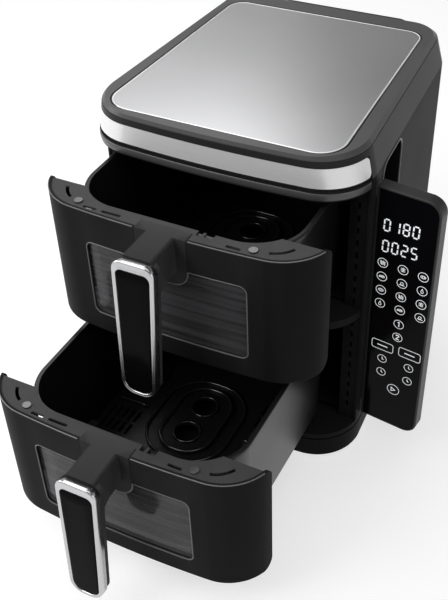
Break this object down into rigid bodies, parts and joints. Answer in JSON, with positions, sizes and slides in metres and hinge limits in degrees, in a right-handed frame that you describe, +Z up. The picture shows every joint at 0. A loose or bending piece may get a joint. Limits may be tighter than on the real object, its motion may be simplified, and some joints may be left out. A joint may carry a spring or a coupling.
{
  "type": "stacked two-drawer air fryer",
  "caption": "Upright air fryer with stacked pull-out drawers, windowed drawer fronts, arched grips, a steel top plate and a touch panel standing out from the side.",
  "frame": {"origin": "middle of the base on the floor, under the feet", "axes": "+Z up, -Y out of the drawer fronts, +X towards the control panel"},
  "size_m": [0.3445, 0.5989, 0.3765],
  "materials": {
    "shell_black": "fine satin black moulding",
    "cover_charcoal": "satin charcoal moulding",
    "plate_satin": "satin sheet with a polished edge",
    "band_steel": "smooth satin steel",
    "sheet_steel": "plain sheet",
    "rubber_black": "matt",
    "screw_steel": "plain",
    "screw_black": "blackened",
    "panel_gloss": "gloss black touch glass",
    "board_green": "circuit board",
    "drawer_black": "satin black moulding",
    "deck_black": "satin black moulding",
    "window_glass": "smoked glass",
    "bezel_chrome": "satin chrome",
    "inlay_gloss": "gloss black",
    "nonstick_black": "non-stick coating",
    "liner_dark": "dark coated sheet",
    "motor_steel": "plain",
    "heater_tube": "heat-darkened tube",
    "fan_aluminium": "plain sheet",
    "led_white": "lit display marks"
  },
  "bodies": {
    "housing": {"band_trim": "band_steel", "base_tray": "shell_black", "bottom_plate": "sheet_steel", "control_board": "board_green", "control_panel_glass": "panel_gloss", "control_panel_housing": "shell_black", "feet": "rubber_black", "foot_screws": "screw_steel", "front_frame": "shell_black", "left_side_scoop": "shell_black", "mains_inlet_bush": "shell_black", "outer_shell": "shell_black", "power_board": "board_green", "rear_cover": "shell_black", "rear_cover_screws": "screw_steel", "right_side_scoop": "shell_black", "shoulder_collar": "shell_black", "top_cover": "cover_charcoal", "top_plate": "plate_satin", "upper_bay_liner": "liner_dark", "upper_rails": "liner_dark", "upper_fan_motor": "motor_steel", "upper_heater": "heater_tube", "upper_air_guard": "sheet_steel", "lower_bay_liner": "liner_dark", "lower_rails": "liner_dark", "lower_fan_motor": "motor_steel", "lower_heater": "heater_tube", "lower_air_guard": "sheet_steel"},
    "upper_drawer": {"upper_fascia": "drawer_black", "upper_fascia_deck": "deck_black", "upper_deck_screws": "screw_black", "upper_window": "window_glass", "upper_handle": "drawer_black", "upper_handle_screws": "screw_black", "upper_handle_bezel": "bezel_chrome", "upper_handle_inlay": "inlay_gloss", "upper_pan": "nonstick_black", "upper_pan_glass": "window_glass"},
    "upper_crisper": {"upper_crisper_plate": "nonstick_black", "upper_crisper_cap": "nonstick_black", "upper_crisper_bumpers": "rubber_black"},
    "upper_rotor": {"upper_fan": "fan_aluminium", "upper_fan_shaft": "motor_steel"},
    "lower_drawer": {"lower_fascia": "drawer_black", "lower_fascia_deck": "deck_black", "lower_deck_screws": "screw_black", "lower_window": "window_glass", "lower_handle": "drawer_black", "lower_handle_screws": "screw_black", "lower_handle_bezel": "bezel_chrome", "lower_handle_inlay": "inlay_gloss", "lower_pan": "nonstick_black", "lower_pan_glass": "window_glass"},
    "lower_crisper": {"lower_crisper_plate": "nonstick_black", "lower_crisper_cap": "nonstick_black", "lower_crisper_bumpers": "rubber_black"},
    "lower_rotor": {"lower_fan": "fan_aluminium", "lower_fan_shaft": "motor_steel"}
  },
  "joints": [
    {"name": "upper_drawer_slide", "type": "slide", "parent": "housing", "child": "upper_drawer", "axis": [0, -1, 0], "range_m": [-0.09, 0.2]},
    {"name": "lower_drawer_slide", "type": "slide", "parent": "housing", "child": "lower_drawer", "axis": [0, -1, 0], "range_m": [-0.208, 0.082]},
    {"name": "upper_crisper_lift", "type": "slide", "parent": "upper_drawer", "child": "upper_crisper", "axis": [0, 0, 1], "range_m": [0, 0.1]},
    {"name": "lower_crisper_lift", "type": "slide", "parent": "lower_drawer", "child": "lower_crisper", "axis": [0, 0, 1], "range_m": [0, 0.1]},
    {"name": "upper_fan_spin", "type": "hinge", "parent": "housing", "child": "upper_rotor", "pos_m": [0, 0.141, 0.262], "axis": [0, 1, 0], "continuous": true},
    {"name": "lower_fan_spin", "type": "hinge", "parent": "housing", "child": "lower_rotor", "pos_m": [0, 0.141, 0.113], "axis": [0, 1, 0], "continuous": true}
  ]
}
